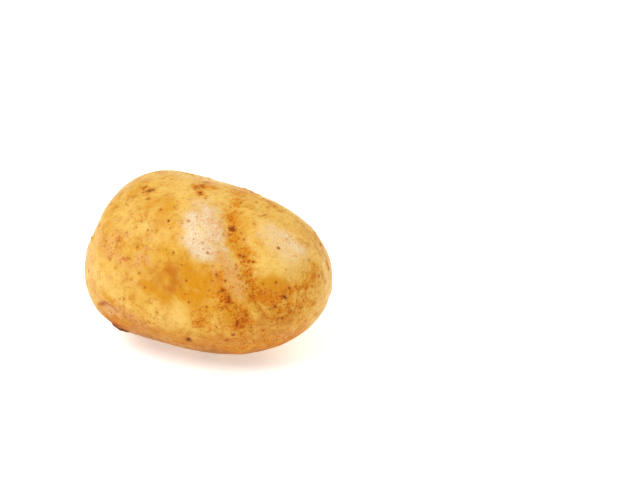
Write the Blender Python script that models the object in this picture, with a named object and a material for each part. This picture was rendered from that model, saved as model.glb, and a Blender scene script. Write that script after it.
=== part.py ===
"""A potato: one yellow-skinned tuber, lying on the small flat spot that it settles on.

Metres, +Z up. +X runs along the tuber to its rose end, the round end where most eyes grow, and -X to its
heel, the blunt end that held the stolon. The origin is on the resting plane, below the middle of the box.
"""

from typing import NamedTuple

import bmesh
import bpy
import numpy as np
from mathutils import Vector

MM = 0.001

# Driving dimensions of the whole tuber
LENGTH = 88 * MM
WIDTH = 62 * MM
HEIGHT = 58 * MM

ROUNDNESS = 2.15  # power of the superellipsoid: 2 is an ellipsoid, and more is boxier
HEEL_SWELL = 0.05  # how much thicker the heel end is than the middle, as a share
REST_DEPTH = 1.2 * MM  # how far the settled flat spot is pressed into the underside
REST_EASE = 0.7 * MM  # height over which the flat spot turns into the round flank

EDGE_PARTS = 20  # how many pieces each edge of the starting icosahedron is cut into

SKIN_COLOUR = (0.78, 0.47, 0.13, 1.0)
SKIN_ROUGHNESS = 0.45


class Lump(NamedTuple):
    """A swelling or, where height is negative, a hollow. Its middle and its reach along X, Y and Z are in mm."""

    at: tuple
    height: float
    reach: tuple


LUMPS = {
    "shoulder over the heel": Lump((-24, 12, 54), 3.2, (10, 12, 10)),
    "knuckle above the thumb hollow": Lump((7, -19, 50), 1.5, (7, 8, 7)),
    "thumb hollow": Lump((0, -29, 38), -2.3, (11, 8, 5)),
    "front of the rose lobe": Lump((33, -13, 43), 1.4, (8, 8, 9)),
    "hollow under the rose lobe": Lump((33, -20, 33), -1.2, (6, 5, 4)),
    "bud under that hollow": Lump((32, -21, 26), 0.9, (4, 4, 4)),
    "slope behind the rose lobe": Lump((20, 19, 49), -2.4, (13, 10, 10)),
    "dent in the heel": Lump((-41, -5, 41), -2.2, (8, 6, 7)),
    "belly of the heel": Lump((-32, -20, 15), 1.6, (9, 10, 8)),
    "slope under the belly": Lump((-8, -22, 6), -1.6, (14, 9, 6)),
    "swelling on the far flank": Lump((-12, 28, 30), 1.3, (12, 8, 11)),
    "hollow on the far flank": Lump((12, 30, 22), -1.6, (7, 6, 6)),
    "low ridge on the far flank": Lump((26, 22, 18), 1.0, (6, 6, 7)),
    "stolon scar": Lump((-43, 4, 27), -1.6, (3, 3.2, 3.2)),
}


class Groove(NamedTuple):
    """A valley along a smooth path over the skin. The path, depth and width are in mm."""

    path: tuple
    depth: float
    width: float


GROOVES = {
    "waist between the two lobes": Groove(
        path=((11, 13, 53), (11, 0, 55), (13, -9, 54), (19, -18, 48), (25, -22, 40), (29, -23, 30)),
        depth=1.8,
        width=3.5,
    ),
}
PATH_STEPS = 12  # points read from the smooth curve between two points of a groove's path
END_FADE = 0.6  # power that shapes how a groove's depth runs out towards both ends of its path


def smooth_path(points):
    """Points along the Catmull-Rom curve through the given ones, as an array."""
    points = np.array(points, float)
    ends = np.vstack([2 * points[:1] - points[1:2], points, 2 * points[-1:] - points[-2:-1]])
    share = np.linspace(0, 1, PATH_STEPS, endpoint=False)[:, None]
    curve = []
    for before, start, end, after in zip(ends, ends[1:], ends[2:], ends[3:]):
        bend = 2 * before - 5 * start + 4 * end - after
        twist = 3 * start - before - 3 * end + after
        curve.append(start + 0.5 * share * (end - before + share * (bend + share * twist)))
    return np.vstack([*curve, points[-1:]])


def tuber_point(directions):
    """Where rays from the middle of the tuber, along unit directions, leave its plain egg shape."""
    half = np.array([LENGTH, WIDTH, HEIGHT]) / 2
    reach = (np.abs(directions / half) ** ROUNDNESS).sum(axis=1) ** (-1 / ROUNDNESS)
    points = directions * reach[:, None]
    swell = 1 - HEEL_SWELL * points[:, 0] / half[0]
    points[:, 1] *= swell
    points[:, 2] *= swell
    return points


def bell(distance):
    """1 at no distance, falling smoothly to 0.6 at distance 1 and to almost nothing at 3."""
    return np.exp(-0.5 * distance**2)


def relief(points):
    """How far the lumps and grooves push out each point of the plain egg shape, whose middle is 0."""
    middle = np.array([0, 0, HEIGHT / 2])
    out = np.zeros(len(points))
    for lump in LUMPS.values():
        offset = (points - (np.array(lump.at) * MM - middle)) / (np.array(lump.reach) * MM)
        out += lump.height * MM * bell(np.linalg.norm(offset, axis=1))
    for groove in GROOVES.values():
        path = smooth_path(groove.path) * MM - middle
        away = np.linalg.norm(points[:, None] - path[None], axis=2)
        share = away.argmin(axis=1) / (len(path) - 1)
        depth = groove.depth * MM * np.sin(np.pi * share) ** END_FADE
        out -= depth * bell(away.min(axis=1) / (groove.width * MM))
    return out


def fit_to_box(points):
    """Scales the points to the driving dimensions and centres them over the origin, the rest depth under it."""
    low, high = points.min(axis=0), points.max(axis=0)
    size = np.array([LENGTH, WIDTH, HEIGHT + REST_DEPTH])
    points = (points - (low + high) / 2) * size / (high - low)
    return points + np.array([0, 0, size[2] / 2 - REST_DEPTH])


def settle(height):
    """Flattens what lies below z = 0 onto it, easing into the flank over REST_EASE."""
    eased = (height + REST_EASE) ** 2 / (4 * REST_EASE)
    return np.where(height > REST_EASE, height, np.where(height < -REST_EASE, 0, eased))


def shape(directions):
    """The finished surface points of the tuber, one for each unit direction."""
    points = tuber_point(directions)
    points = fit_to_box(points + directions * relief(points)[:, None])
    points[:, 2] = settle(points[:, 2])
    return points


def skin_material():
    material = bpy.data.materials.new("potato_skin")
    material.use_nodes = True
    shader = material.node_tree.nodes["Principled BSDF"]
    shader.inputs["Base Color"].default_value = SKIN_COLOUR
    shader.inputs["Roughness"].default_value = SKIN_ROUGHNESS
    shader.inputs["Metallic"].default_value = 0.0
    return material


def potato():
    """The whole tuber: a ball of even triangles, with each vertex moved out to the tuber's surface."""
    ball = bmesh.new()
    bmesh.ops.create_icosphere(ball, subdivisions=1, radius=1)
    bmesh.ops.subdivide_edges(ball, edges=ball.edges[:], cuts=EDGE_PARTS - 1, use_grid_fill=True)
    directions = np.array([vertex.co.normalized() for vertex in ball.verts])
    for vertex, point in zip(ball.verts, shape(directions)):
        vertex.co = Vector(point)
    mesh = bpy.data.meshes.new("potato")
    ball.to_mesh(mesh)
    ball.free()
    mesh.materials.append(skin_material())
    mesh.shade_smooth()
    bpy.context.scene.collection.objects.link(bpy.data.objects.new("potato", mesh))


def main():
    for old in list(bpy.data.objects):
        bpy.data.objects.remove(old)
    potato()


main()
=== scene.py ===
"""The looks of a washed, yellow-skinned potato: its fine relief, its marked skin, and the studio around it.

Points are in the frame of the part: +X to the rose end, +Z up, origin under the middle of the tuber. Blender
works in metres. Places and sizes on the skin are listed in millimetres, and each place is moved to the
nearest skin.
"""

from typing import NamedTuple

import bmesh
import bpy
import numpy as np
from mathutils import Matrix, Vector


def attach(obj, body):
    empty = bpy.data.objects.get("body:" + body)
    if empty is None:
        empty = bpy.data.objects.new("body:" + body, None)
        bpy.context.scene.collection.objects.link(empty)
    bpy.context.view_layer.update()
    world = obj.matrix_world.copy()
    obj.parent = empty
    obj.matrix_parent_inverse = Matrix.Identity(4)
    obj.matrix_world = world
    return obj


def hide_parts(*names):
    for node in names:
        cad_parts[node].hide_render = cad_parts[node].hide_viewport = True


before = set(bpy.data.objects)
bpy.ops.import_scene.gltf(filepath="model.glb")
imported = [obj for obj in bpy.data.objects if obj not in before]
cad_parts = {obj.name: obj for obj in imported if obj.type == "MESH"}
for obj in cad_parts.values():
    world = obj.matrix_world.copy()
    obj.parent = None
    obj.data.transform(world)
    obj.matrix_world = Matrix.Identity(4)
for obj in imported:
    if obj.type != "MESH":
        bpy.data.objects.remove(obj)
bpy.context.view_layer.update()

MM = 0.001

# --------------------------------------------------------------------------------------- small tools


def srgb(red, green, blue):
    """A colour given as it shows on a screen, 0 to 255, as linear red, green, blue and an alpha of 1."""
    screen = np.array([red, green, blue]) / 255
    linear = np.where(screen < 0.04045, screen / 12.92, ((screen + 0.055) / 1.055) ** 2.4)
    return (*linear.tolist(), 1.0)


def bell(distance):
    """1 at no distance, falling smoothly to 0.6 at distance 1 and to almost nothing at 3."""
    return np.exp(-0.5 * distance**2)


LATTICE = 32  # cells of random numbers along each side of the noise before it repeats


def noise(points, size, seed):
    """Smooth noise from about -1 to 1 over the points, with lumps about size across."""
    lattice = np.random.default_rng(seed).uniform(-1, 1, (LATTICE,) * 3)
    place = points / size
    corner = np.floor(place).astype(int)
    share = place - corner
    share = share * share * (3 - 2 * share)
    total = np.zeros(len(points))
    for step in np.ndindex(2, 2, 2):
        weight = np.where(step, share, 1 - share).prod(axis=1)
        total += weight * lattice[tuple(((corner + step) % LATTICE).T)]
    return total


class Layer(NamedTuple):
    """Noise that moves a point by up to about reach, in lumps about size across, both in mm, and its seed."""

    reach: float
    size: float
    seed: int


def layered_noise(points, layers, shift=0):
    """The layers' noise added up. A shift of their seeds gives another pattern of the same kind."""
    return sum(layer.reach * noise(points, layer.size, layer.seed + shift) for layer in layers)


PATH_STEPS = 6  # points on a smooth path from each given point to the next


def smooth_path(points):
    """Points along the Catmull-Rom curve through the given ones."""
    points = np.array(points, float)
    ends = np.vstack([2 * points[:1] - points[1:2], points, 2 * points[-1:] - points[-2:-1]])
    share = np.linspace(0, 1, PATH_STEPS, endpoint=False)[:, None]
    curve = []
    for before, start, end, after in zip(ends, ends[1:], ends[2:], ends[3:]):
        bend = 2 * before - 5 * start + 4 * end - after
        twist = 3 * start - before - 3 * end + after
        curve.append(start + 0.5 * share * (end - before + share * (bend + share * twist)))
    return np.vstack([*curve, points[-1:]])


# --------------------------------------------------------------------------------------- fine surface

FINENESS = 2  # how many times each edge of the CAD solid's mesh is halved
WELD = 0.01 * MM  # points of that mesh that lie closer than this are one

# what makes the outlines of the areas on the skin uneven
WANDER = (Layer(1.5, 6, 21), Layer(0.9, 2.4, 24))


def fine_tuber(source):
    """A new object with the CAD solid's shape, made finer and smoother."""
    mesh = source.data.copy()
    solid = bmesh.new()
    solid.from_mesh(mesh)
    bmesh.ops.remove_doubles(solid, verts=solid.verts[:], dist=WELD)
    solid.to_mesh(mesh)
    solid.free()
    mesh.materials.clear()
    coarse = bpy.data.objects.new("coarse_tuber", mesh)
    bpy.context.scene.collection.objects.link(coarse)
    halving = coarse.modifiers.new("halving", "SUBSURF")
    halving.levels = FINENESS
    halving.render_levels = FINENESS
    evaluated = coarse.evaluated_get(bpy.context.evaluated_depsgraph_get())
    tuber = bpy.data.objects.new("tuber", bpy.data.meshes.new_from_object(evaluated))
    bpy.data.objects.remove(coarse)
    bpy.context.scene.collection.objects.link(tuber)
    return tuber


class Skin:
    """The tuber's surface points and normals. All its places and lengths are in millimetres."""

    def __init__(self, mesh):
        count = len(mesh.vertices)
        points = np.empty(count * 3, np.float32)
        normals = np.empty(count * 3, np.float32)
        mesh.vertices.foreach_get("co", points)
        mesh.vertices.foreach_get("normal", normals)
        self.mesh = mesh
        self.points = points.reshape(-1, 3).astype(float) / MM
        self.normals = normals.reshape(-1, 3).astype(float)

    def nearest(self, at):
        """The skin point nearest to a place."""
        return self.points[np.linalg.norm(self.points - np.array(at), axis=1).argmin()]

    def along(self, path, width, points=None):
        """1 on a path over the skin, or on one place, falling smoothly to almost 0 at 3 widths from it."""
        points = self.points if points is None else points
        line = np.array([self.nearest(at) for at in path])
        if len(line) > 1:
            line = smooth_path(line)
        distance = np.full(len(points), np.inf)
        for spot in line:
            distance = np.minimum(distance, np.linalg.norm(points - spot, axis=1))
        return bell(distance / width)

    def wandered(self):
        """The points, each moved a little by noise."""
        return self.points + np.column_stack([layered_noise(self.points, WANDER, axis) for axis in range(3)])

    def paint(self, name, values):
        """Keeps one number, or one vector, for each point, for the material to read by that name."""
        kind, field = ("FLOAT", "value") if values.ndim == 1 else ("FLOAT_VECTOR", "vector")
        layer = self.mesh.attributes.new(name, kind, "POINT")
        layer.data.foreach_set(field, values.astype(np.float32).ravel())

    def push(self, rise):
        """Moves each point out by its rise. Nothing goes under the resting plane."""
        points = self.points + self.normals * rise[:, None]
        points[:, 2] = np.maximum(points[:, 2], 0)
        self.mesh.vertices.foreach_set("co", (points * MM).astype(np.float32).ravel())
        self.mesh.update()
        self.mesh.shade_smooth()


tuber = fine_tuber(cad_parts["potato"])
skin = Skin(tuber.data)

# --------------------------------------------------------------------------------------- marks


class Mark(NamedTuple):
    """A small mark on the skin: its place and radius in mm, its darkness from 0, rusty, to 1, black, and how
    far its middle rises in mm, which is negative in a pit."""

    at: tuple
    radius: float
    dark: float
    rise: float = 0.0


MARKS = [
    # scabs on top of the heel
    Mark((-19, -5.7, 56.5), 1.1, 0.8, 0.15),
    Mark((-21.1, -3.9, 56.4), 0.7, 0.4, 0.1),
    Mark((-17.8, -5.4, 56.7), 0.8, 0.75, 0.1),
    Mark((-21.5, -4.7, 56.2), 0.6, 0.5),
    Mark((-20.6, -6.3, 56), 0.6, 0.5),
    Mark((-17.8, -9.7, 55.6), 0.6, 0.4),
    # scabs at the highest place
    Mark((-4, -0.1, 57.8), 0.6, 0.6, 0.1),
    Mark((-3.2, 1.1, 57.7), 0.7, 0.4, 0.1),
    Mark((-2.6, -1.1, 57.7), 0.5, 0.5, 0.1),
    Mark((-2.7, 2.4, 57.6), 0.6, 0.5, 0.1),
    Mark((-2.9, 5.5, 57.3), 0.8, 0.4, 0.1),
    Mark((-0.9, -3.7, 57.6), 0.8, 0.75, 0.1),
    Mark((-3.7, -1.7, 57.8), 0.5, 0.6),
    Mark((-2, 0.9, 57.7), 0.8, 0.4),
    Mark((-0.5, -4.6, 57.5), 0.7, 0.6),
    Mark((1.9, -6, 57.2), 0.4, 0.7),
    # the eye in the waist, and spots round it
    Mark((14.8, -14.1, 51.9), 1.1, 0.9, -0.25),
    Mark((15, -16.2, 50.9), 0.35, 0.7),
    Mark((19.8, -19.9, 45.8), 0.55, 0.75),
    Mark((21, -19.5, 45.8), 0.6, 0.75),
    Mark((24.4, -19.8, 44.3), 0.4, 0.7),
    Mark((23.9, -21.3, 42), 0.4, 0.55),
    Mark((21, -23.5, 40.7), 0.4, 0.4),
    Mark((24.2, -22, 40.5), 0.45, 0.5),
    Mark((25, -24.2, 34), 0.5, 0.5),
    # scabs down the ridge beside the waist
    Mark((14.3, -26.2, 40.8), 0.7, 0.4),
    Mark((16.9, -26.2, 39.1), 0.45, 0.6),
    Mark((16.5, -27.2, 35.9), 0.7, 0.8, 0.1),
    Mark((15.2, -27.6, 35.5), 0.45, 0.5),
    Mark((18.5, -27.3, 34.1), 0.6, 0.75, 0.1),
    Mark((18.8, -27.5, 32.3), 0.65, 0.75, 0.1),
    Mark((17.7, -27.9, 32.1), 0.45, 0.6),
    Mark((24, -26.1, 27.7), 0.4, 0.7),
    Mark((23.1, -26.5, 26.4), 0.35, 0.5),
    Mark((21.6, -27, 25.1), 0.5, 0.7),
    Mark((21.2, -27, 23.8), 0.5, 0.75),
    Mark((19.7, -26.6, 19.4), 0.6, 0.8),
    Mark((17.2, -26.5, 16.9), 0.7, 0.7),
    # spots in the hollow under the rose lobe
    Mark((34.8, -18.7, 32.5), 0.65, 0.95),
    Mark((35.5, -18.3, 31.9), 0.45, 0.8),
    Mark((32.4, -21.1, 30.1), 0.5, 0.8),
    Mark((31.3, -22.2, 29), 0.45, 0.5),
    Mark((34.9, -20, 25.1), 0.6, 0.6),
    # raised: a dead sprout on the heel, flakes on top, and specks on the rose end
    Mark((-37.3, -14.6, 39.7), 0.55, 0.35, 0.9),
    Mark((-13.1, 12.4, 56.3), 0.5, 0.4, 0.5),
    Mark((-11, 12.2, 56.2), 0.4, 0.4, 0.4),
    Mark((-5.6, 14.6, 54.7), 0.45, 0.4, 0.5),
    Mark((38.8, 5.6, 41), 0.55, 0.8, 0.25),
    Mark((43.1, 2.2, 33.9), 0.6, 0.8, 0.2),
    # single pores and spots
    Mark((-36.2, -20.6, 29.7), 0.45, 0.5),
    Mark((-14.6, 2.5, 57.9), 0.5, 0.35),
    Mark((4, -28, 15), 1.15, 0.95, -0.2),
    Mark((-6.6, -18.1, 53.3), 0.45, 1.0, -0.1),
    Mark((-10.8, -14.3, 54.8), 0.5, 0.6),
    Mark((-6.5, -12.8, 55.8), 0.6, 0.25),
    Mark((-1.4, -25.8, 45.9), 0.4, 0.8),
    Mark((-15, -24.9, 45.4), 0.45, 0.45),
    Mark((3.7, -27.7, 37.6), 0.34, 0.8),
    Mark((-10.7, -29.5, 33.3), 0.45, 0.45),
    Mark((-13.2, -28.2, 37.4), 0.45, 0.4),
    Mark((-5.8, -31, 25.3), 0.5, 0.45),
    Mark((5.5, -29.8, 30.8), 0.4, 0.6),
    Mark((11.6, -29.5, 29.8), 0.42, 0.65),
    Mark((10.3, -24.3, 47.6), 0.36, 0.6),
    Mark((-1.4, -18.6, 53.5), 0.34, 0.55),
    Mark((0.8, -17.5, 54.3), 0.5, 0.4),
    Mark((8.2, -23, 50.1), 0.3, 0.5),
    Mark((16.7, 2.5, 54.3), 0.42, 0.8),
    Mark((20.9, -9.4, 52.8), 0.5, 0.45),
    Mark((19.5, -15.8, 49.7), 0.4, 0.55),
    Mark((30.9, -13.3, 47.4), 0.42, 0.9),
    Mark((32.3, -19.7, 38), 0.42, 0.85),
    Mark((36.3, -17.2, 35.2), 0.42, 0.85),
    Mark((42.5, -6.1, 35.4), 0.42, 0.8),
    Mark((39.5, -7.1, 41.5), 0.4, 0.5),
    Mark((12.4, -1.2, 55), 0.4, 0.6),
    Mark((-23, -22.8, 44.9), 0.7, 0.3),
    Mark((-16.2, -18.7, 51.4), 0.7, 0.2),
    Mark((-9.2, -21.4, 50.6), 0.8, 0.15),
    Mark((-18.9, -29.5, 26.9), 0.6, 0.4),
    Mark((-16.3, -30, 27.5), 0.4, 0.4),
    Mark((25.8, -25, 22.6), 0.4, 0.7),
    # eyes on the far flank and the rose end, and the stolon scar on the heel
    Mark((12, 29, 23), 1.0, 0.7, -0.3),
    Mark((-16, 30, 34), 0.9, 0.6, -0.25),
    Mark((34, 12, 42), 0.9, 0.7, -0.25),
    Mark((42, 6, 22), 0.9, 0.8, -0.25),
    Mark((30, 18, 12), 0.8, 0.6, -0.2),
    Mark((-43, 4, 27), 1.6, 0.9, -0.3),
]

PORES = 500  # small marks scattered over the rest of the skin
PORE_GAP = 2.2  # the least distance from a pore to any other mark
SMALLEST_PORE = 0.12  # its radius
LARGEST_PORE = 0.36
FAINTEST_PORE = 0.1  # its darkness
DARKEST_PORE = 0.6
PORE_SEED = 11
MARK_LIMIT = 4.0  # the distance, in radii, at which a mark no longer counts


def scattered_pores(skin, marks):
    """Pores at random places, mostly small, away from each other and from the marks."""
    random = np.random.default_rng(PORE_SEED)
    taken = [np.array(mark.at) for mark in marks]
    pores = []
    while len(pores) < PORES:
        spot = skin.points[random.integers(len(skin.points))]
        if np.linalg.norm(np.array(taken) - spot, axis=1).min() > PORE_GAP:
            taken.append(spot)
            size = SMALLEST_PORE + (LARGEST_PORE - SMALLEST_PORE) * random.random() ** 2
            pores.append(Mark(tuple(spot), size, random.uniform(FAINTEST_PORE, DARKEST_PORE)))
    return pores


def paint_marks(skin, marks):
    """Keeps, for each point, its nearest mark's darkness, and where it lies from that mark, in radii."""
    nearness = np.full(len(skin.points), np.inf)
    offset = np.zeros(skin.points.shape)
    dark = np.zeros(len(skin.points))
    for mark in marks:
        here = (skin.points - skin.nearest(mark.at)) / mark.radius
        away = np.linalg.norm(here, axis=1)
        # compared in millimetres, so a small mark isn't hidden by a large one's reach
        nearer = away * mark.radius < nearness
        nearness = np.where(nearer, away * mark.radius, nearness)
        offset = np.where(nearer[:, None], here, offset)
        dark = np.where(nearer, mark.dark, dark)
    skin.paint("mark_offset", offset)
    skin.paint("mark_distance", np.minimum(np.linalg.norm(offset, axis=1), MARK_LIMIT))
    skin.paint("mark_dark", dark)


# --------------------------------------------------------------------------------------- areas of colour


class Area(NamedTuple):
    """A stretch of skin: places along its middle, how far it reaches from them, in mm, and its strength."""

    path: tuple
    reach: float
    strength: float


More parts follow.
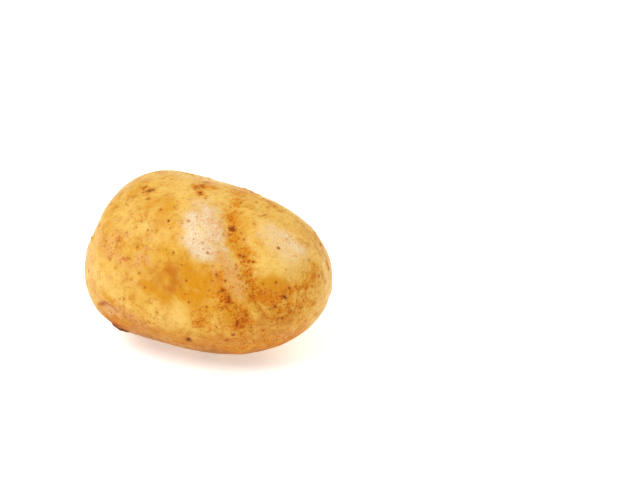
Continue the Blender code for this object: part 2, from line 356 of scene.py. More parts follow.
AREAS = {
    # clear skin, paler than the rest
    "clear": [
        Area(((27, -19, 42.5), (31.7, -18.5, 42), (36, -14.6, 42.5)), 4.0, 1.0),
        Area(((-1, -30.8, 28), (1.7, -30.8, 26.3), (5, -30.2, 27)), 2.8, 0.7),
        Area(((-32, -24, 35), (-30.5, -24.5, 31), (-27, -27, 31)), 3.4, 0.8),
        Area(((-10, 4, 57.9), (-8.2, -0.3, 57.9), (-6, -8, 57), (4, -3, 57)), 4.0, 0.7),
        Area(((23.7, -9.8, 51.9), (27, -12, 50)), 3.6, 0.7),
        Area(((40.6, -3, 41), (42.6, -2, 36)), 2.0, 0.7),
        Area(((-14, 24, 46), (4, 26, 44)), 6, 0.8),
        Area(((-30, 18, 40),), 7, 0.8),
        Area(((20, 24, 26),), 6, 0.8),
    ],
    # skin stained deep yellow
    "amber": [
        Area(
            ((4, -27.4, 40), (9, -27.4, 38.5), (12, -27.4, 37), (8.9, -28.5, 34.6), (4, -29.2, 33.4)),
            3.0,
            1.0,
        ),
        Area(((-8, -28.6, 36), (-3.5, -28, 37.5), (0, -27.6, 39)), 3.4, 0.6),
        Area(((9, -29.6, 30), (15, -28.6, 30), (19, -27.2, 30), (20, -27.4, 25)), 4, 0.75),
        Area(((10, -29.8, 27), (10, -29.6, 22)), 2.4, 0.7),
        Area(((-10, -29.4, 33.4), (-5, -30, 31), (-2, -30.2, 30.4)), 2.2, 0.85),
        Area(
            ((-16, -12, 54.3), (-11, -9.3, 56.5), (-8, -12, 56), (-9, -17, 53.6), (-6, -20, 52)),
            2.4,
            0.6,
        ),
        Area(((-8, -21, 51), (-5, -24, 48.5)), 3.0, 0.35),
        Area(((13.4, -8.6, 54), (16.4, -13.6, 51.6), (19, -17, 48.4), (21.4, -19.4, 45.6)), 2.0, 0.7),
        Area(((26, -22, 37), (30, -20.3, 36.4), (34, -18.4, 35.6)), 2.6, 1.0),
        Area(((-28, -26, 25.5), (-25, -27.4, 24)), 1.6, 0.9),
        Area(((20, 29, 34), (2, 31, 30)), 6, 0.6),
        Area(((40, 4, 16), (36, -6, 10)), 5, 0.5),
    ],
    # skin stained orange brown
    "burnt": [
        Area(((26.4, -23, 33.6), (29, -21.8, 32.8), (32.6, -20.2, 32.2)), 2.1, 0.9),
        Area(((23, -21.6, 42), (24.6, -22.6, 38.6), (26, -23, 35.6)), 1.9, 0.5),
        Area(((14, -11.6, 53), (16.2, -16, 50), (19.6, -19, 47), (22, -20.6, 44.4)), 1.7, 0.28),
        Area(((12, -6, 54.8), (13.4, -10, 53.4)), 1.6, 0.4),
        Area(((40.4, -11.6, 36), (41.8, -8.4, 36.8)), 1.6, 0.5),
        Area(((16.6, -27.4, 36), (18.4, -27.3, 33)), 1.6, 0.5),
        Area(((9.6, -29.9, 28), (10, -29.9, 24)), 2.2, 0.35),
        Area(((22.6, -26, 29), (22, -26.9, 25)), 1.8, 0.4),
        Area(((22, 27, 20), (30, 20, 18)), 3.0, 0.6),
        Area(((-34, 16, 24), (-26, 24, 24)), 3.0, 0.5),
    ],
    # a tan band across the hollow: part bruise, part painted shade on the wall of the fold beside it
    "tan": [
        Area(((-1.6, -27.3, 40.6), (-0.2, -28, 38), (-0.6, -28.8, 34.4)), 1.9, 0.9),
        Area(((-5, -28, 37), (-6, -28.8, 34.4), (-3, -29.2, 32.6)), 2.4, 0.5),
    ],
    # the underside, dusty and darker: part dust, part painted shade where less light reaches it
    "soil_and_shade": [
        Area(((-30, -22, 14), (-20, -27.5, 17), (-10, -28, 14), (2, -27, 12), (14, -25.5, 11)), 4.2, 1.0),
        Area(((14, -26.5, 15), (24, -24.4, 17), (31, -20.5, 17), (37, -13, 17)), 4.6, 0.8),
        Area(((22, -26.4, 25), (29, -23.3, 24), (36, -18.6, 24.5)), 3.6, 0.7),
        Area(((-30, 18, 9), (0, 24, 6), (26, 18, 6)), 7, 0.8),
        Area(((-20, -8, 1), (10, 6, 0)), 14, 0.7),
    ],
    # soil that clings where the tuber lay, and painted shade along the bottom rim and where the tuber meets
    # the floor
    "earth_and_contact_shade": [
        Area(((-20, -24, 10.6), (-13, -24.8, 9.8), (-5, -23.8, 8), (6, -22.6, 7)), 2.6, 1.0),
        Area(((6, -22.6, 7), (16, -21, 7.8), (26, -16.8, 8.4), (34, -12.6, 11)), 2.6, 1.0),
        Area(((-24, -24.6, 13.4), (-17, -26, 12.6), (-10, -26, 11)), 1.7, 0.8),
        Area(((22, -20.4, 10.6), (30, -16.4, 12.4), (35, -13, 14)), 1.7, 0.8),
        Area(((-24, -17, 6), (-6, -20.6, 4.4), (12, -19.6, 4.4), (28, -11.6, 6.4)), 6, 1.0),
        Area(((-20, 16, 5), (8, 20, 5)), 5, 0.5),
    ],
    # skin with a dry, pale bloom, and cream painted as highlight on the middle bulge and the rose lobe
    "bloom_and_highlight": [
        Area(((-27.6, -26.1, 20), (-25, -27, 19.8)), 1.0, 0.7),
        # painted highlight on the middle bulge, over a little dry bloom
        Area(((1.4, -16.6, 54.2), (3.4, -20, 52.8), (7, -23, 50.4), (10, -24.4, 47.6)), 3.2, 1.0),
        Area(((2, -9, 57), (5, -12, 56.4)), 3.2, 0.55),
        Area(((5.6, -13, 56), (8, -16, 54.4), (11, -20, 51)), 3.0, 0.9),
        Area(((13.4, -20.6, 49.6), (15.4, -21.2, 47.8)), 1.6, 0.7),
        Area(((12, -22.4, 48.4), (15, -22, 47), (18, -24, 42.4)), 2.0, 0.45),
        # painted highlight on the rose lobe, over a little dry bloom
        Area(((31, -8.2, 48.8), (34.4, -8.3, 46.8), (36.6, -8.2, 44.4)), 3.3, 0.64),
        Area(((27, -10, 50.6), (31, -11, 48), (35, -11, 45)), 4.6, 0.55),
        Area(((10, 14, 50), (-4, 20, 50)), 4, 0.4),
    ],
    # faint bruises and rubbed skin
    "mauve": [
        Area(
            ((3, -13, 56), (7, -13.8, 55.3), (10, -16, 53.5), (12.4, -20, 50.6), (13.8, -22.4, 48)),
            2.2,
            0.45,
        ),
        Area(((14, -23.5, 46.4), (16, -25, 42.5), (18.5, -25.4, 39), (21.5, -24.8, 36)), 2.3, 0.8),
        Area(
            (
                (-27.6, -23.2, 40.8),
                (-24.8, -24.4, 41.2),
                (-19, -26.6, 40),
                (-14, -27, 40.6),
                (-10.4, -27, 41.6),
            ),
            2.4,
            0.7,
        ),
        Area(((-12.6, -22.8, 48.7), (-10.8, -25.2, 45.5)), 1.8, 0.5),
        Area(((-31, -19, 43), (-25.8, -21.9, 44.3), (-20, -22.4, 47)), 2.8, 0.55),
        Area(((-24.7, -27.2, 33.1), (-18.3, -28.6, 34.3), (-13, -29, 34)), 2.0, 0.35),
        Area(
            ((-24.8, -26.8, 20.6), (-20.9, -28.6, 21.7), (-16.8, -29.4, 21.5), (-12.6, -29, 17.6)),
            2.0,
            0.8,
        ),
        Area(((-29, -16, 47), (-23.8, -17.8, 49.5), (-19.6, -16.3, 52.1)), 2.0, 0.35),
        Area(((-25.3, 8.3, 55.9), (-20.9, 7, 57.2)), 2.0, 0.6),
        Area(((27.4, -2, 51), (30, -3, 50), (34, -2.6, 47.6), (36.4, -1, 45)), 3.0, 0.2),
        Area(((-28, -25.9, 20), (-26.6, -26.5, 20.4), (-24.8, -27.1, 19.8)), 1.3, 1.2),
        Area(((-36, -17, 34), (-33, -21, 30), (-31, -23.6, 26)), 2.4, 0.5),
        Area(((-3, 6.5, 57.2), (0, 4.8, 57.2)), 2, 0.9),
        Area(((32, -16.4, 16), (36, -12.6, 16), (38.4, -9.6, 17.4)), 1.8, 0.8),
        Area(((12.6, -26.4, 41), (14, -26.8, 38.6)), 1.5, 0.7),
        Area(((8, 9, 54), (11, 11.5, 52.9)), 2.2, 0.8),
        Area(((-40, -14, 30), (-39, -10, 42), (-32, -3, 52)), 3.5, 0.6),
        Area(((-38, 16, 20), (-26, 26, 26), (-14, 30, 22)), 3.4, 0.7),
        Area(((34, 20, 24), (36, 16, 34)), 3.0, 0.7),
    ],
    # brown, rough skin
    "russet": [
        Area(((9.5, 7.5, 54.5), (10, 2, 55), (11.6, -4, 55), (12, -9, 54)), 1.6, 0.75),
        Area(((12, -9, 54.2), (14.6, -13.6, 52), (16.6, -17, 49.4), (20.4, -19.4, 46.4)), 1.8, 0.6),
        Area(((20.4, -19.4, 46.4), (22.6, -21, 43.4), (23.6, -22.6, 40), (25, -23.2, 36.4)), 1.8, 0.8),
        Area(((27.5, -22.6, 34), (30, -21.4, 33.4)), 2.2, 0.6),
        Area(((32.4, -20.2, 32.6), (34.4, -19, 32)), 1.6, 0.8),
        Area(((37, -16.6, 34.6), (38.6, -14.6, 35.4)), 1.6, 0.9),
        Area(((40.6, -11.4, 34.8), (41.4, -10, 36.4)), 2.2, 0.7),
        Area(((41.8, -7.6, 37.6), (41.6, -5.6, 39.4)), 1.8, 0.4),
        Area(((33.4, -21, 28), (37, -17.4, 28.4), (41, -12.6, 28)), 2.6, 0.55),
        Area(((14.6, -26.4, 40.4), (16, -27, 37.6)), 1.2, 0.8),
        Area(((16.5, -27.5, 36), (18.5, -27.5, 32.5)), 1.5, 0.9),
        Area(((23, -25.6, 30), (24.4, -26, 27.4), (22, -27, 25), (20.4, -27, 22)), 1.4, 0.75),
        Area(((-23, -4, 55.6), (-20, -5.4, 56.4), (-17.7, -5.6, 56.7)), 1.5, 0.35),
        Area(((-5, -0.6, 57.8), (-2, 1.6, 57.7), (1, 2, 57.4)), 1.4, 0.9),
        Area(((-2, -3.4, 57.7), (0, -5, 57.5)), 1.2, 0.6),
        Area(((-23.4, -22.5, 44.6), (-20.6, -23, 45.4)), 1.5, 0.4),
        Area(((19, -20.6, 12), (28, -19, 12), (36, -10, 12)), 3.4, 0.7),
        Area(((-26.6, -24.4, 17), (-20, -26.8, 15.4)), 1.6, 0.8),
        Area(((42, 2, 36), (40, 6, 40), (36, 8, 44)), 1.8, 0.7),
        Area(((40, 12, 30), (33, 18, 36), (24, 22, 40)), 3.0, 0.9),
        Area(((14, 28, 20), (24, 24, 16), (34, 16, 14)), 3.2, 0.8),
        Area(((-8, 30, 26), (-18, 29, 22), (-30, 22, 20)), 3.0, 0.8),
        Area(((-20, 22, 48), (-30, 14, 50)), 2.6, 0.7),
        Area(((-41, 2, 24), (-40, 10, 30)), 3.0, 0.9),
    ],
    # clusters of small russet specks
    "speckled": [
        Area(((10, -29.8, 29), (9.6, -30.1, 25.6), (9.6, -29.8, 22)), 2.2, 1.4),
        Area(((15.4, -28.6, 31), (17, -28.4, 28), (15, -29, 24)), 2.4, 1.3),
        Area(((19.1, -27.2, 33), (22.3, -26.8, 26.8), (21.4, -26.8, 22)), 2.4, 1.3),
        Area(((38.6, -14.6, 34), (41.4, -10.6, 35), (41.6, -6.6, 38)), 3.2, 0.8),
        Area(((26, -22.6, 35), (34, -19, 33)), 3.2, 1.0),
        Area(((35, -19, 28), (39, -15, 27)), 2.6, 0.7),
        Area(((-22, -28, 23), (-16, -29.5, 22), (-9, -30.2, 22)), 2.8, 0.5),
        Area(((9.6, -8, 55), (12.4, -4, 55), (14.4, -7.6, 54)), 2.2, 0.9),
        Area(((19, -23, 43), (24, -21.6, 42.4), (24, -23.4, 38)), 2.6, 0.9),
        Area(((-24, -22.6, 46), (-22, -21, 48), (-18, -21, 49)), 2.6, 0.5),
        Area(((-27, -23, 41.6), (-19, -26.4, 40.4), (-14, -27, 40.6)), 2.2, 0.8),
        Area(((28, -24, 22), (34, -20, 22), (40, -12.6, 24)), 3.6, 0.7),
        Area(((42.6, -8, 32), (43.6, -3, 33), (43, 2, 35)), 3.0, 0.6),
        Area(((27, -6, 51), (32, -5, 48.8)), 3.2, 0.7),
        Area(((11, -6, 55), (14, -11, 53), (17, -16, 49.6), (20, -19, 46.6)), 2.4, 0.7),
        Area(((-9.4, -19.4, 52.6), (-7, -22, 50.4)), 2.4, 0.5),
        Area(((-28, -25.6, 27), (-20, -29, 27), (-13, -29.8, 29)), 2.6, 0.5),
        Area(((16, -27.6, 17), (22, -25, 17), (30, -21, 17)), 3.0, 0.7),
        Area(((6, 24, 46), (20, 20, 46)), 4, 0.6),
        Area(((-34, 12, 42), (-24, 22, 40)), 5, 0.6),
    ],
}


def area_cover(skin, areas, points):
    """How strongly the areas cover each point: 0 is not at all."""
    cover = np.zeros(len(points))
    for area in areas:
        cover = np.maximum(cover, area.strength * skin.along(area.path, area.reach, points))
    return cover


# --------------------------------------------------------------------------------------- relief


class Crease(NamedTuple):
    """A line over the skin: places along it, and its width and rise in mm. The rise is negative in a valley,
    and a wide one is a swelling or a hollow. A stain of 0 is none, 1 is brown, and 1.4 or more is black."""

    path: tuple
    width: float
    rise: float
    stain: float = 0.0


# the skin's own low relief
UNEVENNESS = (Layer(0.20, 9, 1), Layer(0.09, 3.7, 2), Layer(0.03, 1.5, 3))

CREASES = [
    # the fold round the bud under the rose lobe, from the waist
    Crease(
        ((22.9, -22.2, 41.2), (25.4, -23.4, 35.9), (27, -23.4, 32.4), (28.2, -23.7, 29.8)),
        0.6,
        -0.35,
        0.25,
    ),
    Crease(
        ((28.2, -23.7, 29.8), (29.9, -23.5, 26.8), (32.5, -22.1, 25.3), (34.4, -20.5, 25.4)),
        0.5,
        -0.3,
        0.4,
    ),
    Crease(((24, -25, 33), (26, -25, 29), (28, -24.7, 26)), 1.0, 0.25),
    # the scratch between two pits under the rose lobe
    Crease(((32.2, -21.2, 30.2), (33.4, -20.2, 31), (34.5, -19, 31.9)), 0.3, -0.1, 0.5),
    # the brow over the amber patch on the heel
    Crease(
        ((-18.1, -9.5, 55.6), (-14.7, -9, 56.3), (-11.9, -7.6, 56.9), (-9.6, -6.1, 57.4)),
        0.5,
        -0.2,
        0.35,
    ),
    Crease(((-7, -8, 57.3), (-6.2, -11, 56.4), (-6.5, -12.8, 55.8)), 0.6, 0.0, 0.25),
    # the crescent eye on the heel, low in front
    Crease(
        ((-30, -25, 20.2), (-28.7, -25.9, 21.4), (-27.1, -26.7, 22.2), (-25.2, -27.4, 22.2)),
        0.9,
        0.0,
        0.65,
    ),
    Crease(((-25.2, -27.4, 22.2), (-23.9, -27.7, 21.6), (-23.1, -27.8, 20.4)), 0.9, 0.0, 0.65),
    Crease(((-28.4, -25.7, 20), (-26.6, -26.5, 20.6), (-24.8, -27.1, 19.8)), 1.2, -0.8),
    Crease(((-29.6, -25, 23.4), (-26, -27, 24.4), (-22.5, -28, 23)), 1.2, 0.25),
    Crease(((-29, -24.8, 17.6), (-26.6, -25.9, 17.8), (-24, -26.7, 17.6)), 0.8, 0.25),
    # reddish streaks that run from the eye along the underside
    Crease(
        ((-22.6, -28.2, 21.6), (-20, -28.8, 19.6), (-16.6, -29, 17), (-13, -28.6, 14.6)),
        0.7,
        -0.08,
        0.35,
    ),
    Crease(
        ((-24, -26.8, 17.6), (-20.6, -27.6, 16.4), (-16, -27.8, 14.4), (-11, -27.4, 12.6)),
        0.6,
        0.06,
        0.4,
    ),
    Crease(((-20.4, -29, 22.6), (-17.6, -29.6, 20.6), (-14.6, -29.8, 18.6)), 0.5, -0.05, 0.3),
    Crease(((-22.6, -25.8, 14.6), (-17, -27, 13), (-11, -27, 11.8), (-4, -26, 10.6)), 0.6, 0.08, 0.4),
    Crease(((-14, -29.4, 17.6), (-8, -29.4, 16), (-1, -28.8, 14.4), (5, -28, 13.6)), 0.6, 0.05, 0.3),
    Crease(((-2, -27, 12.4), (6, -26.4, 11.6), (14, -25.6, 12)), 0.7, 0.06, 0.35),
    # the black scab under the eye, and a crack beside it
    Crease(((-25.7, -22.6, 12), (-24.8, -23, 11.3), (-24.3, -23.2, 11.2)), 0.85, 0.6, 2.3),
    Crease(((-23.1, -23.7, 10.9), (-22.3, -23.9, 11), (-21.6, -24.1, 10.6)), 0.85, 0.6, 2.2),
    Crease(
        ((-28.4, -23, 14.4), (-26.4, -23.8, 13.8), (-24.2, -24.6, 13.4), (-22.2, -25, 13.2)),
        0.5,
        -0.3,
        0.7,
    ),
    # thin scratches behind the rose lobe, the bumpy thread beside them, and a short curl
    Crease(((18.5, -4.3, 54.3), (19, -0.3, 54.1), (18.9, 4, 53.4), (18.7, 8.2, 52.1)), 0.3, -0.12, 0.45),
    Crease(((20.6, -5.4, 53.7), (21.2, -5, 53.6), (21.7, -3.8, 53.5), (22.5, -2.1, 53.2)), 0.35, 0.12, 0.5),
    Crease(((20.7, 1.4, 53.5), (21.4, 4.1, 52.7), (22.5, 5.1, 52)), 0.4, 0.08, 0.5),
    # the curl on the heel
    Crease(
        ((-24.6, -8.6, 54), (-25.6, -10, 53), (-25.2, -11.6, 52.8), (-23.6, -12.8, 52.7)),
        0.3,
        -0.1,
        0.5,
    ),
    # the flaky edge behind the waist
    Crease(
        ((7.3, 14.8, 52.3), (8.8, 12.9, 52.9), (10.8, 12.8, 52.7), (12, 11.3, 52.8), (14.3, 11, 52.3)),
        0.6,
        0.35,
        0.6,
    ),
    # a crack down the ridge beside the waist
    Crease(
        ((11.4, -20.8, 50.8), (12.8, -21, 49.9), (13.3, -21.8, 48.9), (14.4, -21.9, 48), (15.6, -22.2, 46.9)),
        0.3,
        -0.1,
        0.3,
    ),
    # the edge of the bruise in the hollow
    Crease(((0.9, -27.1, 42), (1.2, -27.4, 39.6), (1.6, -28, 36.6), (2.3, -29, 33.5)), 0.8, 0.18),
    # furrows down the heel
    Crease(((-11.3, -20.7, 50.9), (-13.7, -25.5, 44.6), (-19.3, -26.8, 39.6)), 1.6, -0.35),
    Crease(((-24.5, -19.7, 47.6), (-27, -22.7, 42.2), (-30, -22.6, 39.3)), 1.4, -0.3),
    Crease(((-33.5, -14, 45.4), (-35, -17, 41), (-34.4, -20, 37.6)), 1.2, -0.2),
    # broad, low swellings and hollows all round
    Crease(((-33, -8, 48), (-31.6, -6, 51)), 6, 1.0),
    Crease(((21, 12.4, 50), (27, 9.8, 48)), 5.4, 0.9),
    Crease(
        ((-24, -23, 12), (-17, -25.8, 12), (-13, -24.3, 10), (-4.7, -24, 9), (6, -23, 8.6), (18, -21, 9)),
        4,
        0.65,
    ),
    Crease(((22, -20, 9.4), (30, -15.4, 11)), 4, 0.4),
    Crease(((-12, 12, 56.3), (-6, 13.6, 55.2)), 5, -0.65),
    Crease(((-36, -20, 24), (-34, -22, 19)), 5, 0.35),
    Crease(((-37.4, -18.2, 34.5), (-38, -14, 40)), 5, -0.45),
    Crease(((40, 7, 40), (43, 2, 32)), 5, -0.35),
    # brows and slits of the eyes on the far flank and the rose end
    Crease(((8.6, 29.4, 25), (12, 30, 25.6), (15.4, 28.6, 25)), 0.8, 0.35, 0.2),
    Crease(((8.8, 29.6, 23.4), (12, 29.8, 23.8), (15, 29, 23.4)), 0.6, -0.45, 0.6),
    Crease(((-19.4, 28.8, 35.6), (-16, 29.4, 36.4), (-12.8, 29.8, 35.8)), 0.8, 0.3, 0.2),
    Crease(((-19, 29.4, 34), (-16, 30, 34.6), (-13, 30.2, 34.2)), 0.6, -0.4, 0.5),
    Crease(((40, 8.6, 24), (41.6, 6.2, 24.6), (42.4, 3.4, 24)), 0.7, 0.3, 0.2),
    Crease(((40.4, 8.4, 22.4), (42, 6, 22.8), (42.8, 3.4, 22.4)), 0.5, -0.4, 0.6),
    Crease(((31, 15.4, 42.6), (33.8, 12.6, 43), (35.6, 9.6, 42.6)), 0.7, 0.3, 0.2),
    Crease(((31.2, 15.8, 41.2), (34, 12.8, 41.6), (36, 9.8, 41.2)), 0.5, -0.35, 0.5),
]


def relief(skin, marks):
    """How far each point stands out of the smooth shape, in millimetres."""
    rise = layered_noise(skin.points, UNEVENNESS)
    for crease in CREASES:
        rise += crease.rise * skin.along(crease.path, crease.width)
    for mark in marks:
        if mark.rise:
            rise += mark.rise * skin.along([mark.at], mark.radius)
    return rise


def stains(skin):
    """How dark the creases stain each point."""
    cover = np.zeros(len(skin.points))
    for crease in CREASES:
        if crease.stain:
            cover = np.maximum(cover, crease.stain * skin.along(crease.path, crease.width))
    return cover


marks = MARKS + scattered_pores(skin, MARKS)
paint_marks(skin, marks)
wandered = skin.wandered()
for name, areas in AREAS.items():
    skin.paint(name, area_cover(skin, areas, wandered))
skin.paint("stain", stains(skin))
skin.push(relief(skin, marks))

# --------------------------------------------------------------------------------------- skin material


class Shader:
    """A material whose nodes are made by short calls. A value is a number, a colour or a node's socket."""

    def __init__(self, name):
        self.material = bpy.data.materials.new(name)
        self.material.use_nodes = True
        self.tree = self.material.node_tree
        self.surface = self.tree.nodes["Principled BSDF"]

    def plug(self, socket, value):
        if isinstance(value, bpy.types.NodeSocket):
            self.tree.links.new(value, socket)
        else:
            socket.default_value = value

    def node(self, kind, values=(), **settings):
        """A new node with those settings, and with values on its inputs, by name or by number."""
        node = self.tree.nodes.new("ShaderNode" + kind)
        for name, setting in settings.items():
            setattr(node, name, setting)
        for key, value in dict(values).items():
            self.plug(node.inputs[key], value)
        return node

    def math(self, operation, first, second=0.0):
        return self.node("Math", {0: first, 1: second}, operation=operation).outputs[0]

    def place(self):
        """The point on the surface, in millimetres."""
        coordinates = self.node("TexCoord").outputs["Object"]
        node = self.node("VectorMath", {0: coordinates, "Scale": 1 / MM}, operation="SCALE")
        return node.outputs["Vector"]

    def times(self, first, second):
        return self.math("MULTIPLY", first, second)

    def line(self, value, gain, start):
        """start where the value is 0, rising by gain with it."""
        values = {0: value, 1: gain, 2: start}
        return self.node("Math", values, operation="MULTIPLY_ADD").outputs[0]

    def total(self, start, *terms):
        """start and, for each term, its value times its gain."""
        for value, gain in terms:
            start = self.line(value, gain, start)
        return start

    def noise(self, place, size, detail=3.0, roughness=0.55):
        """Noise from about -1 to 1, with lumps about size millimetres across."""
        values = {"Vector": place, "Scale": 1 / size, "Detail": detail, "Roughness": roughness}
        return self.line(self.node("TexNoise", values).outputs["Fac"], 4.0, -2.0)

    def attribute(self, name):
        return self.node("Attribute", attribute_name=name).outputs["Fac"]

    def step(self, value, start, end, low=0.0, high=1.0):
        """low before start, high after end, and a smooth change between them."""
        values = {"Value": value, "From Min": start, "From Max": end, "To Min": low, "To Max": high}
        return self.node("MapRange", values, interpolation_type="SMOOTHSTEP").outputs["Result"]

    def mix(self, share, first, second):
        """first where share is 0, second where it is 1."""
        node = self.node("Mix", data_type="RGBA", blend_type="MIX", clamp_factor=True)
        self.plug(node.inputs["Factor"], share)
        self.plug(node.inputs["A"], first)
        self.plug(node.inputs["B"], second)
        return node.outputs["Result"]


YELLOW = srgb(212, 176, 98)
STRAW = srgb(220, 188, 114)
DEEP_YELLOW = srgb(204, 160, 68)
AMBER = srgb(196, 138, 10)
BURNT = srgb(190, 116, 4)
# the tan of a bruise, partly painted shade beside the fold in the hollow
TAN = srgb(178, 110, 20)
# earth brown, partly painted shade at the bottom rim and the contact
EARTH_AND_CONTACT_SHADE = srgb(152, 92, 22)
# soil brown: mottling all over, and on the underside partly painted shade
SOIL_AND_SHADE = srgb(188, 131, 42)
STREAK = srgb(168, 104, 30)
# the cream of a dry bloom, also laid on as painted highlight
CREAM_BLOOM_AND_HIGHLIGHT = srgb(214, 197, 166)
MAUVE = srgb(204, 156, 102)
GROUND = srgb(198, 132, 22)
GRAIN = srgb(178, 102, 0)
DARK_GRAIN = srgb(140, 64, 0)
PINK = srgb(196, 150, 116)
RUST = srgb(168, 88, 4)
BROWN = srgb(136, 62, 0)
BLACK = srgb(92, 32, 0)


class Wash(NamedTuple):
    """The colour of an area. Noise of that size, in mm, moves the area's edge by up to wander of its cover,
    and the colour covers the skin by strength at most."""

    area: str
    colour: tuple
    size: float
    wander: float
    strength: float


WASHES = [
    Wash("clear", STRAW, 5, 0.2, 0.75),
    # the underside's dust and painted shade
    Wash("soil_and_shade", SOIL_AND_SHADE, 5, 0.4, 0.9),
    # clinging soil, and painted shade at the bottom rim and the contact
    Wash("earth_and_contact_shade", EARTH_AND_CONTACT_SHADE, 2.4, 0.5, 0.85),
    Wash("amber", AMBER, 5, 0.14, 0.85),
    # bruise colour, and painted shade on the fold's wall in the hollow
    Wash("tan", TAN, 3, 0.3, 0.8),
    Wash("burnt", BURNT, 1.8, 0.55, 0.8),
    # pale bloom, and painted highlight on the middle bulge and the rose lobe
    Wash("bloom_and_highlight", CREAM_BLOOM_AND_HIGHLIGHT, 3, 0.16, 0.95),
    Wash("mauve", MAUVE, 2.0, 0.5, 0.75),
    Wash("russet", GROUND, 1.5, 0.8, 0.8),
]


class Tint(NamedTuple):
    """A colour that covers nothing where some value is at start, and that share of the skin from end on."""

    colour: tuple
    start: float
    end: float
    share: float


CLOUDS = [Tint(SOIL_AND_SHADE, -0.1, 0.9, 0.65), Tint(STRAW, 0.0, -1.0, 0.5)]
FRECKLES = [Tint(STREAK, 0.15, 1.1, 0.45)]
GRAINS = [Tint(GRAIN, 0.5, 1.2, 0.6), Tint(DARK_GRAIN, 1.1, 1.9, 0.6)]
STAINS = [Tint(RUST, 0.15, 0.6, 0.6), Tint(BROWN, 0.5, 1.0, 0.8), Tint(BLACK, 1.0, 1.4, 0.9)]

# how much thicker each area makes the russet grains
GRAIN_DENSITY = {"russet": 0.6, "speckled": 0.6, "mauve": 0.3, "soil_and_shade": 0.3, "clear": -0.4, "bloom_and_highlight": -0.2}

# sizes of the patterns in the skin's colour, in mm
CLOUD_BANK = 11
CLOUD = 3.2
FINE_CLOUD = 0.9
FRECKLE = 0.6
STREAK_WIDTH = 1.3
ROSY_DOT = 0.55
GRAIN_GAP = 0.85
GRAIN_EDGE = 0.9
THREAD_GAP = 2.6
MARK_EDGE = 0.625

STREAK_STRETCH = (0.2, 1.0, 1.0)  # less than 1 along X draws a pattern out along the tuber
STREAK_SHARE = 0.6  # the most that streaks cover of the dusty underside and its painted shade
DOT_SHARE = 0.85  # the most that rosy dots cover of the pale bloom and painted highlight
EDGE_FADE = (0.05, 1.0)  # an area's cover where its colour starts, and where it is full

# all in radii of a mark
EDGE_MOVE = 2.6  # how far noise moves its outline, for each 1 of noise
CORE_FADE = (0.3, 1.3)  # where its own colour fades
REACH_FADE = (1.8, 2.4)  # where that colour ends at last, however far noise moved it
HALO_FADE = (0.8, 3.0)  # where the rusty halo fades
HALO_SHARE = 0.4  # the most that the halo covers, round a black mark

GLOSSY = 0.38  # the roughness of bare skin
DULL = 0.6  # the roughness of russet, rubbed skin and marks
SPECULAR = 0.24  # how strongly the skin mirrors, where 0.5 is usual
BUMP_HEIGHT = 0.06 * MM
BUMP_STRENGTH = 0.7


def wash_cover(shader, place, wash):
    """How far an area's colour covers the skin, from 0 to its strength."""
    edge = shader.line(shader.noise(place, wash.size, 5.0, 0.6), wash.wander, shader.attribute(wash.area))
    return shader.step(edge, *EDGE_FADE, 0.0, wash.strength)


def tinted(shader, colour, value, tints):
    """The colour with each tint laid over it in turn, as far as the value says."""
    for tint in tints:
        cover = shader.step(value, tint.start, tint.end, 0.0, tint.share)
        colour = shader.mix(cover, colour, tint.colour)
    return colour


def streak_cover(shader, place):
    """How far streaks that run along the tuber cover it."""
    stretched = shader.node("VectorMath", {0: place, 1: STREAK_STRETCH}, operation="MULTIPLY")
    streaks = shader.noise(stretched.outputs["Vector"], STREAK_WIDTH, 3.0)
    return shader.step(streaks, 0.0, 0.9, 0.0, STREAK_SHARE)


def grain_height(shader, place, clouds):
    """How high the russet's grains are: most in the middle of each, and where they lie thick."""
    density = 0.0
    for area, share in GRAIN_DENSITY.items():
        density = shader.line(shader.attribute(area), share, density)
    edges = shader.noise(place, GRAIN_EDGE, 2.0)
    from_middle = shader.node("TexVoronoi", {"Vector": place, "Scale": 1 / GRAIN_GAP}).outputs["Distance"]
    from_thread = shader.math("ABSOLUTE", shader.noise(place, THREAD_GAP, 3.0))
    return shader.total(
        0.75, (edges, 0.7), (from_middle, -1.3), (clouds, 0.45), (from_thread, -0.9), (density, 1.0)
    )


def mark_cover(shader, place):
    """How far the marks' own colour covers the skin, with uneven outlines."""
    warp = shader.node("TexNoise", {"Vector": place, "Scale": 1 / MARK_EDGE, "Detail": 2.0}).outputs["Color"]
    warp = shader.node("VectorMath", {0: warp, 1: (0.5,) * 3}, operation="SUBTRACT").outputs["Vector"]
    offset = shader.node("Attribute", attribute_name="mark_offset").outputs["Vector"]
    moved = shader.node("VectorMath", {0: warp, 1: (EDGE_MOVE,) * 3, 2: offset}, operation="MULTIPLY_ADD")
    away = shader.node("VectorMath", {0: moved.outputs["Vector"]}, operation="LENGTH").outputs["Value"]
    core = shader.step(away, *CORE_FADE, 1.0, 0.0)
    near = shader.step(shader.attribute("mark_distance"), *REACH_FADE, 1.0, 0.0)
    return shader.times(core, near)


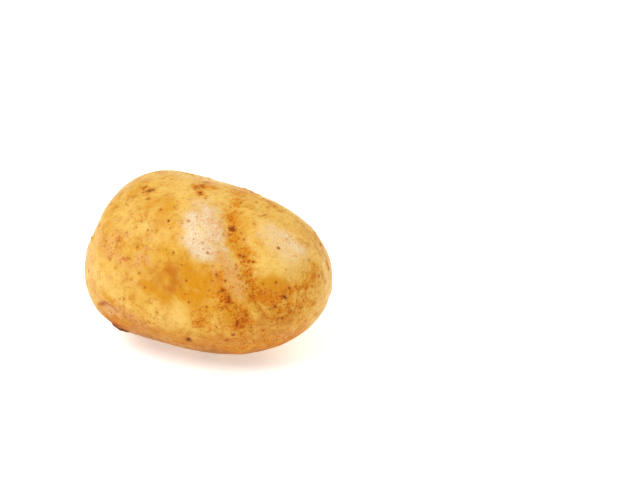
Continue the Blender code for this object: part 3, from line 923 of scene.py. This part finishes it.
def skin_material():
    shader = Shader("potato_skin")
    place = shader.place()
    banks = shader.noise(place, CLOUD_BANK, 3.0)
    clouds = shader.noise(place, CLOUD, 4.0)
    fine = shader.noise(place, FINE_CLOUD, 4.0, 0.65)

    # the skin's own yellow, cloudy at every scale, with freckles
    colour = shader.mix(shader.step(banks, -0.7, 0.9), YELLOW, DEEP_YELLOW)
    colour = tinted(shader, colour, shader.line(fine, 0.35, clouds), CLOUDS)
    freckles = shader.line(clouds, 0.4, shader.noise(place, FRECKLE, 3.0))
    colour = tinted(shader, colour, freckles, FRECKLES)

    # the areas, then streaks through the dusty underside and its painted shade, and rosy dots in the pale
    # bloom and painted highlight
    covers = {}
    for wash in WASHES:
        covers[wash.area] = wash_cover(shader, place, wash)
        colour = shader.mix(covers[wash.area], colour, wash.colour)
    colour = shader.mix(shader.times(streak_cover(shader, place), covers["soil_and_shade"]), colour, STREAK)
    dots = shader.step(shader.noise(place, ROSY_DOT, 2.0), 0.0, 0.6)
    colour = shader.mix(shader.times(dots, shader.times(covers["bloom_and_highlight"], DOT_SHARE)), colour, PINK)

    # the russet's grains and the creases' stains
    grains = grain_height(shader, place, clouds)
    colour = tinted(shader, colour, grains, GRAINS)
    colour = tinted(shader, colour, shader.line(fine, 0.25, shader.attribute("stain")), STAINS)

    # the marks, each with a faint rusty halo
    dark = shader.attribute("mark_dark")
    ink = shader.mix(shader.step(dark, 0.0, 0.6), RUST, BROWN)
    ink = shader.mix(shader.step(dark, 0.6, 1.0), ink, BLACK)
    marked = mark_cover(shader, place)
    halo = shader.step(shader.attribute("mark_distance"), *HALO_FADE, 1.0, 0.0)
    colour = shader.mix(shader.times(halo, shader.times(dark, HALO_SHARE)), colour, RUST)
    colour = shader.mix(shader.times(marked, shader.line(dark, 0.5, 0.4)), colour, ink)
    shader.plug(shader.surface.inputs["Base Color"], colour)

    dull = shader.math("MAXIMUM", covers["russet"], covers["mauve"])
    dull = shader.math("MAXIMUM", dull, marked)
    rough = shader.line(fine, 0.06, shader.step(dull, 0.0, 1.0, GLOSSY, DULL))
    shader.plug(shader.surface.inputs["Roughness"], rough)
    shader.surface.inputs["Specular IOR Level"].default_value = SPECULAR

    height = shader.total(clouds, (fine, 0.6), (shader.step(grains, 0.6, 1.4), 0.8))
    bump = shader.node("Bump", {"Height": height, "Strength": BUMP_STRENGTH, "Distance": BUMP_HEIGHT})
    shader.plug(shader.surface.inputs["Normal"], bump.outputs["Normal"])
    return shader.material


tuber.data.materials.append(skin_material())
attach(tuber, "root")
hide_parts("potato")

# --------------------------------------------------------------------------------------- studio


def towards(azimuth, elevation):
    """The direction at that azimuth, 0 being in front at -Y and 90 at +X, and that elevation, in degrees."""
    turn, lift = np.radians([azimuth, elevation])
    return Vector((np.sin(turn) * np.cos(lift), -np.cos(turn) * np.cos(lift), np.sin(lift)))


FLOOR_SIDE = 6.0
FLOOR_COLOUR = (0.86, 0.86, 0.86, 1)
FLOOR_ROUGHNESS = 0.7
FLOOR_GLOW = 0.31


def white_floor():
    """A floor that glows a little, like the top of a light table."""
    shader = Shader("white_floor")
    shader.surface.inputs["Base Color"].default_value = FLOOR_COLOUR
    shader.surface.inputs["Roughness"].default_value = FLOOR_ROUGHNESS
    shader.surface.inputs["Emission Color"].default_value = (1, 1, 1, 1)
    shader.surface.inputs["Emission Strength"].default_value = FLOOR_GLOW
    half = FLOOR_SIDE / 2
    mesh = bpy.data.meshes.new("floor")
    corners = [(-half, -half, 0), (half, -half, 0), (half, half, 0), (-half, half, 0)]
    mesh.from_pydata(corners, [], [(0, 1, 2, 3)])
    mesh.materials.append(shader.material)
    floor = bpy.data.objects.new("floor", mesh)
    bpy.context.scene.collection.objects.link(floor)


def soft_sun(name, azimuth, elevation, spread, strength):
    """A large softbox far away: it lights the whole floor evenly. spread is how wide it looks, in degrees."""
    light = bpy.data.lights.new(name, "SUN")
    light.angle = np.radians(spread)
    light.energy = strength
    lamp = bpy.data.objects.new(name, light)
    lamp.rotation_euler = towards(azimuth, elevation).to_track_quat("Z", "Y").to_euler()
    bpy.context.scene.collection.objects.link(lamp)


def studio_world(strength):
    world = bpy.data.worlds.new("studio")
    world.use_nodes = True
    background = world.node_tree.nodes["Background"]
    background.inputs["Color"].default_value = (1, 1, 1, 1)
    background.inputs["Strength"].default_value = strength
    bpy.context.scene.world = world


TUBER_MIDDLE = Vector((0, 0, 29 * MM))
CAMERA_AZIMUTH = 24.3  # degrees, from the front towards the rose end
CAMERA_ELEVATION = 28.7  # degrees
CAMERA_DISTANCE = 0.616  # from the tuber's middle
AIM_RIGHT = 38.4 * MM  # how far right of the tuber's middle the camera aims
AIM_UP = 6.8 * MM  # and how far above it
LENS = 100  # focal length, in mm
SENSOR = 36  # width, in mm


def studio_camera():
    """A long lens that looks down on the tuber, with empty floor to its right."""
    data = bpy.data.cameras.new("camera")
    data.lens = LENS
    data.sensor_width = SENSOR
    camera = bpy.data.objects.new("camera", data)
    back = towards(CAMERA_AZIMUTH, CAMERA_ELEVATION)
    right = Vector((0, 0, 1)).cross(back).normalized()
    target = TUBER_MIDDLE + right * AIM_RIGHT + back.cross(right) * AIM_UP
    camera.location = TUBER_MIDDLE + back * CAMERA_DISTANCE
    camera.rotation_euler = (camera.location - target).to_track_quat("Z", "Y").to_euler()
    bpy.context.scene.collection.objects.link(camera)
    bpy.context.scene.camera = camera


white_floor()
soft_sun("key", azimuth=-40, elevation=60, spread=45, strength=1.55)
soft_sun("rim", azimuth=135, elevation=40, spread=50, strength=0.6)
studio_world(strength=0.46)
studio_camera()
bpy.context.scene.view_settings.view_transform = "Standard"
bpy.context.scene.view_settings.look = "High Contrast"
